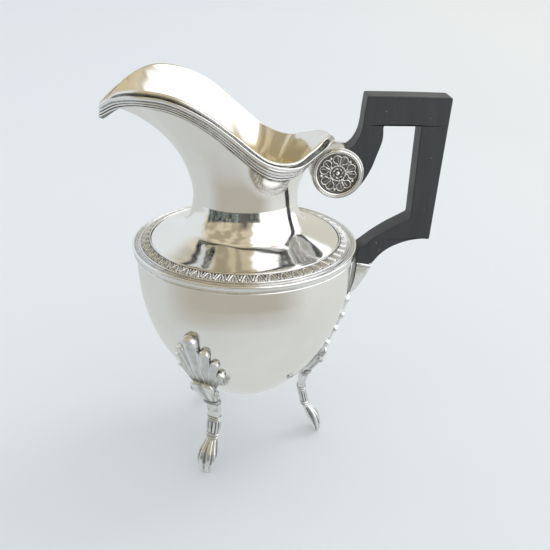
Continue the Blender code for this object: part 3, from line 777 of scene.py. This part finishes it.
# outline of the board in the jug's middle plane, as runs of (x, height) that meet in corners
HANDLE_OUTER = [[(33.6, 117.6), (36.0, 119.2), (38.0, 122.4), (38.9, 126.2), (39.3, 131.2), (39.8, 136.1)],
                [(39.8, 136.1), (54.0, 136.05), (68.3, 135.8)],
                [(68.3, 135.8), (67.1, 112.0), (65.8, 85.4)],
                [(65.8, 85.4), (62.8, 85.55), (57.5, 84.6), (52.3, 82.4), (48.7, 79.6), (45.7, 75.75)],
                [(45.7, 75.75), (42.5, 76.1), (39.9, 76.4)],
                [(39.9, 76.4), (40.05, 78.8), (40.4, 81.3)]]
HANDLE_INNER = [[(40.4, 81.3), (42.5, 83.0), (45.8, 85.7), (50.7, 89.1), (54.6, 91.3), (58.2, 93.3)],
                [(58.2, 93.3), (58.4, 110.0), (58.65, 126.2)],
                [(58.65, 126.2), (52.0, 126.25), (45.9, 126.3)],
                [(45.9, 126.3), (46.0, 121.5), (44.4, 115.9), (42.9, 111.4), (40.7, 107.1), (37.8, 103.5),
                 (34.4, 101.35), (31.6, 100.95)]]


def handle_outline():
    """Dense closed outline of the board in the jug's middle plane."""
    runs = []
    for run in HANDLE_OUTER + HANDLE_INNER:
        length = sum(math.dist(a, b) for a, b in zip(run, run[1:]))
        runs.append(curve_through(run, max(4, int(length / 0.45)))[:-1])
    seat = np.array(arc_points(DRUM_X, DRUM_Z, WOOD_R, -88, 76, 44))
    line = np.concatenate(runs + [seat])
    # ease every corner a little, as worn wood is
    for _ in range(2):
        line = 0.5 * line + 0.25 * (np.roll(line, 1, 0) + np.roll(line, -1, 0))
    return line


def make_handle():
    line = handle_outline()
    ahead = np.roll(line, -1, 0) - np.roll(line, 1, 0)
    ahead /= np.linalg.norm(ahead, axis=1)[:, None]
    area = 0.5 * np.sum(line[:, 0] * np.roll(line[:, 1], -1) - np.roll(line[:, 0], -1) * line[:, 1])
    inward = np.stack([-ahead[:, 1], ahead[:, 0]], 1) * np.sign(area)
    for _ in range(8):         # the inset has to stay smooth at the corners
        inward = 0.5 * inward + 0.25 * (np.roll(inward, 1, 0) + np.roll(inward, -1, 0))
    half = BOARD / 2
    lift = np.radians(np.linspace(0, 90, 7))
    edge = [(WOOD_ROUND * (1 - math.cos(t)), -half + WOOD_ROUND * (1 - math.sin(t))) for t in lift[::-1]]
    rows = edge + [(0.0, y) for y in np.linspace(-half + WOOD_ROUND, half - WOOD_ROUND, 7)[1:-1]]
    rows += [(inset, -y) for inset, y in edge[::-1]]
    grid = []
    for inset, y in rows:
        p = line + inward * inset
        grid.append(np.stack([p[:, 0], np.full(len(p), y), p[:, 1]], 1))
    shape = Shape()
    index = shape.grid(np.array(grid))
    flat = [Vector((x, z, 0)) for x, z in line]
    for triangle in tessellate_polygon([flat]):
        for row, order in ((0, 1), (-1, -1)):
            shape.faces.append([int(index[row, k]) for k in triangle][::order])
    obj = shape.build("v_handle", EBONY)
    for face in obj.data.polygons:
        face.use_smooth = len(face.vertices) != 3
    place(obj, "handle")


DRUM_R, DRUM_INSIDE, DRUM_HALF = 8.46, 7.4, 4.3      # radii of the wall, half its width
FACE_Y = 4.25                                        # where the rings start, from the middle plane


def in_drum(radius, angle, y):
    """Points in the drum's own polar frame, angles from the handle side upwards."""
    return np.stack([DRUM_X + radius * np.cos(angle), y + 0 * radius * angle,
                     DRUM_Z + radius * np.sin(angle)], -1)


def make_drum():
    """Drum wall, brought out to a small saddle where it is soldered to the neck."""
    angle = np.linspace(0, 2 * math.pi, 160, endpoint=False)[None, :]
    saddle = smoothstep(0.75, 0.98, np.cos(angle - math.radians(170)))
    half = [(DRUM_INSIDE, DRUM_HALF), (DRUM_R, DRUM_HALF), (DRUM_R, 3.9), (8.40, 3.6)]
    wall = [(radius, -y) for radius, y in half] + half[::-1]
    rows = []
    for radius, y in wall:
        r = radius + (saddle * 0.9 if radius > 8 else 0 * saddle)
        rows.append(in_drum(r, angle, np.array([[y]]))[0])
    shape = Shape()
    # the whole wall is painted a little darker: painted shade and dark reflection on the drum
    shape.grid(np.array(rows), wrap_rows=True, recess=0.25)
    place(shape.build("v_upper_socket", SILVER_SMALL), "upper_socket")


# section of the ring: (radius, rise from the drum's face), a flange and then a half-round bead
BEZEL_LINE = [(7.0, 0.0), (8.9, 0.0), (8.95, 0.12), (8.92, 0.30), (8.80, 0.36), (8.42, 0.36), (8.34, 0.44)]
BEZEL_LINE += [(7.72 + 0.60 * math.cos(math.radians(t)), 0.46 + 0.50 * math.sin(math.radians(t)))
               for t in range(10, 181, 17)]
BEZEL_LINE += [(7.05, 0.30)]


def make_bezel(name, side):
    """Flat flange with a bright half-round bead inside it."""
    angle = np.linspace(0, 2 * math.pi, 144, endpoint=False)[None, :]
    rows, tint = [], []
    for radius, rise in BEZEL_LINE:
        rows.append(in_drum(np.full_like(angle, radius), angle, np.array([[side * (FACE_Y + rise)]]))[0])
        tint.append(0.6 if 8.3 < radius < 8.6 else 0.8 if radius < 7.1 else 0.3 if radius > 8.7 else 0.0)
    shape = Shape()
    shape.grid(np.array(rows), wrap_rows=True, recess=np.array(tint)[:, None])
    place(shape.build("v_" + name, LIP_SILVER), name)


PETALS = 5
PETAL_TURN = 9                 # direction of one petal, in degrees
ROSETTE_R = 7.15


def rosette_relief(r, angle):
    """Height and tarnish over the rosette; each petal is a pair of round lobes with a flame-shaped vein."""
    pitch = 2 * math.pi / PETALS
    phi = (angle - math.radians(PETAL_TURN) + pitch / 2) % pitch - pitch / 2
    x, y = r * np.cos(phi), r * np.sin(phi)
    lobes = np.minimum(np.hypot(x - 4.75, np.abs(y) - 1.15) - 1.42, np.hypot(x - 3.7, y) - 1.05)
    rim = ridge(lobes, 0.26)
    inside = smoothstep(0.1, -0.25, lobes)
    vein = ridge(y, np.clip(0.42 - 0.10 * (x - 3.0), 0.05, 1))
    vein = vein * smoothstep(2.9, 3.3, x) * smoothstep(5.7, 4.6, x)
    veinlet = ridge(np.abs(y) - 0.42 - 0.30 * (x - 3.2), 0.13)
    veinlet = veinlet * smoothstep(3.3, 3.7, x) * smoothstep(5.9, 5.3, x)
    petal = np.maximum(rim, inside * np.maximum(vein * 0.95, veinlet * 0.6))
    split = (angle - math.radians(PETAL_TURN)) % pitch - pitch / 2
    bead = ridge(np.hypot(r * np.cos(split) - 5.75, r * np.sin(split)), 0.62)
    stem = ridge(r * np.sin(split), 0.16) * smoothstep(3.0, 3.3, r) * smoothstep(5.3, 4.6, r) * 0.5
    rope = ridge(r - 2.62, 0.40) * (0.72 + 0.28 * np.cos(angle * 18 + (r - 2.6) * 5))
    swirl = ridge(r - 1.62, 0.42) * (0.55 + 0.45 * np.cos(angle * 7 - (r - 1.6) * 3))
    boss = ridge(r, 0.85)
    edge = ridge(r - 6.75, 0.16) * 0.35
    raised = np.maximum.reduce([petal, bead, stem, rope, swirl * 0.75, boss, edge])
    height = np.maximum.reduce([petal * 0.85, bead, stem, rope, swirl * 0.6, boss * 1.1, edge])
    return 0.55 * height + 0.10 * inside, np.clip(0.98 - 1.15 * raised - 0.12 * inside, 0, 1)


def make_rosette(name, side):
    radius = np.linspace(0, ROSETTE_R, 100)[:, None]
    angle = np.linspace(0, 2 * math.pi, 360, endpoint=False)[None, :]
    height, recess = rosette_relief(radius + 0 * angle, angle + 0 * radius)
    y = side * (FACE_Y + 0.08 + height)
    points = in_drum(radius, angle, y)
    under = in_drum(radius[-1:], angle, np.array([[side * (FACE_Y - 0.25)]]))
    centre = np.broadcast_to(under.mean(1, keepdims=True), under.shape)
    shape = Shape()
    shape.grid(np.concatenate([points, under, centre]),
               recess=np.concatenate([recess, np.full((2, recess.shape[1]), 0.9)]))
    place(shape.build("v_" + name, CAST), name)


# lower socket: (height, inner x, outer x, half-width)
SOCKET = [(61.0, 38.15, 38.4, 0.35), (61.5, 38.2, 38.9, 0.7), (63.4, 38.7, 40.3, 2.1),
          (66.2, 39.2, 42.0, 3.3), (68.8, 39.6, 43.5, 4.0), (71.6, 39.9, 44.9, 4.4),
          (74.2, 40.1, 45.9, 4.55), (75.3, 40.1, 46.25, 4.6)]


def make_lower_socket():
    z = np.linspace(61.0, 75.3, 80)
    parts = leg_column(z, SOCKET, 5.0, columns=88)
    phi, zz = parts[-1], z[:, None]
    rim = ridge(zz - 74.75, 0.42)
    points = leg_points(z, parts, 0.22 * rim - 0.04 + 0 * phi)
    # the rim rises a little towards the bowl
    points[:, :, 2] += np.clip((46.2 - points[:, :, 0]) * 0.16, 0, 1.2) * smoothstep(66, 74, z)[:, None]
    # the side that faces the bowl is painted dark: painted shade and reflection between socket and bowl
    recess = 0.10 + 0.55 * np.exp(-((zz - 74.2) / 0.25) ** 2) + 0.6 * smoothstep(2.0, 2.9, np.abs(phi))
    points, recess = capped(points, recess)
    shape = Shape()
    shape.grid(points, recess=np.clip(recess, 0, 1))
    place(shape.build("v_lower_socket", LIP_SILVER), "lower_socket")


make_bowl()
sheet = neck_grid()
make_neck(sheet)
make_lip(sheet)
make_band()
make_girdle()
for number in (1, 2, 3):
    make_palmette(number)
    make_calyx(number)
    make_leg(number)
make_handle()
make_drum()
make_lower_socket()
for face, toward in (("front", -1), ("back", 1)):
    make_bezel("bezel_" + face, toward)
    make_rosette("rosette_" + face, toward)


# ---------------------------------------------------------------- studio

ROOM_R = 0.55                  # radius of the reflected room, in metres
WHITE_WALL, CREAM_WALL = (0.80, 0.835, 0.85), (0.70, 0.68, 0.60)
CEILING, CEILING_DARK = (0.70, 0.61, 0.44), (0.43, 0.37, 0.26)
WINDOW = (1.5, 1.5, 1.5)
TABLE_NEAR, TABLE_RIGHT, TABLE_FRONT = (0.63, 0.65, 0.64), (0.80, 0.81, 0.79), (0.49, 0.465, 0.40)
TABLE_LIFT = 0.05              # mm, so that the reflected table lies just over the floor
# parts of the room: (start, end) in degrees round from the +X side
CREAM_SIDE, FRONT_SIDE = (30, 96), (-178, -62)
WINDOW_WIDE, WINDOW_TALL, WINDOW_HIGH = (-77, 38), (-64, 0), (30, 72)
CLUTTER, ONLOOKER = (-172, -62), (-101, -84)
# heights between which they fade in or out, in parts of ROOM_R
CEILING_FROM, FRONT_FROM, CLUTTER_TOP, ONLOOKER_TOP = (0.66, 0.84), (0.03, 0.07), (0.20, 0.22), (0.30, 0.44)
WIDE_TOP, TALL_TOP, HIGH_MIDDLE, HIGH_REACH = (0.90, 0.94), (0.97, 0.99), 0.74, (0.12, 0.16)
CLUTTER_COLOURS = [(0.35, (0.01, 0.01, 0.01)), (0.48, (0.06, 0.055, 0.05)), (0.52, (0.25, 0.24, 0.15)),
                   (0.58, (0.10, 0.20, 0.26)), (0.66, (0.5, 0.5, 0.5))]
WORLD_COLOUR, WORLD_STRENGTH = (0.93, 0.95, 0.97, 1), 0.91
KEY_PLACE, KEY_AIM, KEY_SIZE, KEY_WATTS = (1.6, 1.0, 2.3), (0, 0, 0.07), 1.2, 10


def make_floor():
    low = cad_box[0]
    bpy.ops.mesh.primitive_plane_add(size=9.0, location=(0, 0, low[2]))
    plane = bpy.context.object
    plane.name = "floor"
    n = Nodes("floor_paper")
    cool = n.ramp(n.noise(1.2, 2, 0.5), [(0.3, (0.80, 0.835, 0.86)), (0.7, (0.815, 0.845, 0.865))])
    # painted light: the floor is painted warmer and a little lighter towards +X, for the warmer light on
    # that side
    warm = n.span(n.axis("X"), -0.1, 0.5, 0.0, 1.0)
    n.put(n.shader.inputs["Base Color"], n.mix(warm, cool, (0.86, 0.865, 0.845, 1)))
    n.shader.inputs["Roughness"].default_value = 0.85
    plane.data.materials.append(n.mat)


def room_paint():
    """Light sent out by the room: ceiling, window, pale walls and a cluttered strip low at the front."""
    n = Nodes("room_paint")
    x, y, z = n.axis("X"), n.axis("Y"), n.maths("DIVIDE", n.axis("Z"), ROOM_R)
    turn_angle = n.maths("MULTIPLY", n.maths("ARCTAN2", y, x), 180 / math.pi)
    wobble = n.span(n.noise(9, 2, 0.5), 0.3, 0.7, -4, 4)
    turn_angle = n.maths("ADD", turn_angle, wobble)

    def between(side, soft=4.0):
        start, end = side
        return n.maths("MULTIPLY", n.span(turn_angle, start - soft, start + soft, 0, 1),
                       n.span(turn_angle, end - soft, end + soft, 1, 0))

    blotch = n.ramp(n.noise(7, 2, 0.5), [(0.42, CEILING_DARK), (0.52, CEILING)])
    warm = n.mix(n.span(z, 0.0, 0.35, 0.0, 1.0), (0.74, 0.66, 0.48, 1), blotch)
    colour = n.mix(between(CREAM_SIDE, 10), (*WHITE_WALL, 1), (*CREAM_WALL, 1))
    colour = n.mix(n.span(z, *CEILING_FROM, 0, 1), colour, warm)
    front = n.maths("MAXIMUM", between(FRONT_SIDE), n.span(turn_angle, 176, 180, 0, 1))
    colour = n.mix(n.maths("MULTIPLY", front, n.span(z, *FRONT_FROM, 0, 1)), colour, warm)
    wide = n.maths("MULTIPLY", between(WINDOW_WIDE), n.span(z, *WIDE_TOP, 1, 0))
    tall = n.maths("MULTIPLY", between(WINDOW_TALL), n.span(z, *TALL_TOP, 1, 0))
    off_level = n.maths("ABSOLUTE", n.maths("SUBTRACT", z, HIGH_MIDDLE))
    high = n.maths("MULTIPLY", between(WINDOW_HIGH), n.span(off_level, *HIGH_REACH, 1, 0))
    window = n.maths("MAXIMUM", n.maths("MAXIMUM", wide, tall), high)
    colour = n.mix(window, colour, (*WINDOW, 1))
    stuff = n.ramp(n.noise(34, 2, 0.6), CLUTTER_COLOURS)
    low_strip = n.maths("MULTIPLY", between(CLUTTER, 3), n.span(z, *CLUTTER_TOP, 1, 0))
    colour = n.mix(low_strip, colour, stuff)
    onlooker = n.maths("MULTIPLY", between(ONLOOKER, 5), n.span(z, *ONLOOKER_TOP, 1, 0))
    colour = n.mix(onlooker, colour, (0.13, 0.12, 0.11, 1))
    return n.glow(colour)


def table_paint():
    """Light sent out by the table around the jug: cool and even close by, dim and warm at the front."""
    n = Nodes("table_paint")
    x, y = n.axis("X"), n.axis("Y")
    far = n.maths("POWER", n.maths("ADD", n.maths("MULTIPLY", x, x), n.maths("MULTIPLY", y, y)), 0.5)
    toward = n.maths("ADD", n.maths("MULTIPLY", y, -1.0), n.maths("MULTIPLY", x, -0.25))
    ahead = n.maths("DIVIDE", toward, far)
    dim = n.maths("MULTIPLY", n.span(ahead, 0.3, 0.8, 0, 1), n.span(far, 0.10, 0.15, 0, 1))
    colour = n.mix(n.span(x, -0.12, 0.25, 0.0, 1.0), (*TABLE_NEAR, 1), (*TABLE_RIGHT, 1))
    colour = n.mix(dim, colour, (*TABLE_FRONT, 1))
    return n.glow(colour)


def reflected_only(card):
    """Stage piece that is seen only in the silver's reflections."""
    card.visible_camera = False
    card.visible_diffuse = False
    card.visible_shadow = False


def make_room():
    lat = np.linspace(0, math.pi / 2, 24)[:, None]
    lon = np.linspace(0, 2 * math.pi, 64, endpoint=False)[None, :]
    shape = Shape()
    shape.grid(np.stack([np.cos(lat) * np.cos(lon), np.cos(lat) * np.sin(lon), np.sin(lat) + 0 * lon], -1)
               * (ROOM_R / MM))
    reflected_only(shape.build("reflected_room", room_paint()))
    shape = Shape()
    radius = np.linspace(0, ROOM_R / MM, 8)[:, None]
    shape.grid(np.stack([radius * np.cos(lon), radius * np.sin(lon), TABLE_LIFT + 0 * radius * lon], -1))
    reflected_only(shape.build("reflected_table", table_paint()))


def make_lights():
    world = bpy.data.worlds.new("studio")
    bpy.context.scene.world = world
    world.use_nodes = True
    tree = world.node_tree
    tree.nodes["Background"].inputs["Color"].default_value = WORLD_COLOUR
    tree.nodes["Background"].inputs["Strength"].default_value = WORLD_STRENGTH
    data = bpy.data.lights.new("key", "AREA")
    data.shape = "RECTANGLE"
    data.size = data.size_y = KEY_SIZE
    data.energy = KEY_WATTS
    data.color = (1.0, 0.99, 0.97)
    lamp = bpy.data.objects.new("key", data)
    lamp.location = KEY_PLACE
    lamp.rotation_euler = (Vector(KEY_AIM) - lamp.location).to_track_quat("-Z", "Y").to_euler()
    bpy.context.scene.collection.objects.link(lamp)
    bpy.context.scene.view_settings.view_transform = "Standard"


VIEW_AZIMUTH, VIEW_ELEVATION, VIEW_ROLL = math.radians(-3.28), math.radians(25.41), math.radians(1.40)
VIEW_DISTANCE, SENSOR, LENS = 0.27334, 36.0, 48.46      # metres, then millimetres
VIEW_TARGET = Vector(((11.08 + AXIS_X) * MM, 0, 69.21 * MM))


def make_camera():
    data = bpy.data.cameras.new("camera")
    data.sensor_width = SENSOR
    data.lens = LENS
    data.clip_start = 0.01
    cam = bpy.data.objects.new("camera", data)
    bpy.context.scene.collection.objects.link(cam)
    sa, ca = math.sin(VIEW_AZIMUTH), math.cos(VIEW_AZIMUTH)
    se, ce = math.sin(VIEW_ELEVATION), math.cos(VIEW_ELEVATION)
    back = Vector((sa * ce, -ca * ce, se))
    side = Vector((ca, sa, 0))
    up = back.cross(side)
    right = side * math.cos(VIEW_ROLL) + up * math.sin(VIEW_ROLL)
    up = up * math.cos(VIEW_ROLL) - side * math.sin(VIEW_ROLL)
    where = VIEW_TARGET + back * VIEW_DISTANCE
    cam.matrix_world = Matrix(((right.x, up.x, back.x, where.x), (right.y, up.y, back.y, where.y),
                               (right.z, up.z, back.z, where.z), (0, 0, 0, 1)))
    bpy.context.scene.camera = cam


make_floor()
make_room()
make_lights()
make_camera()
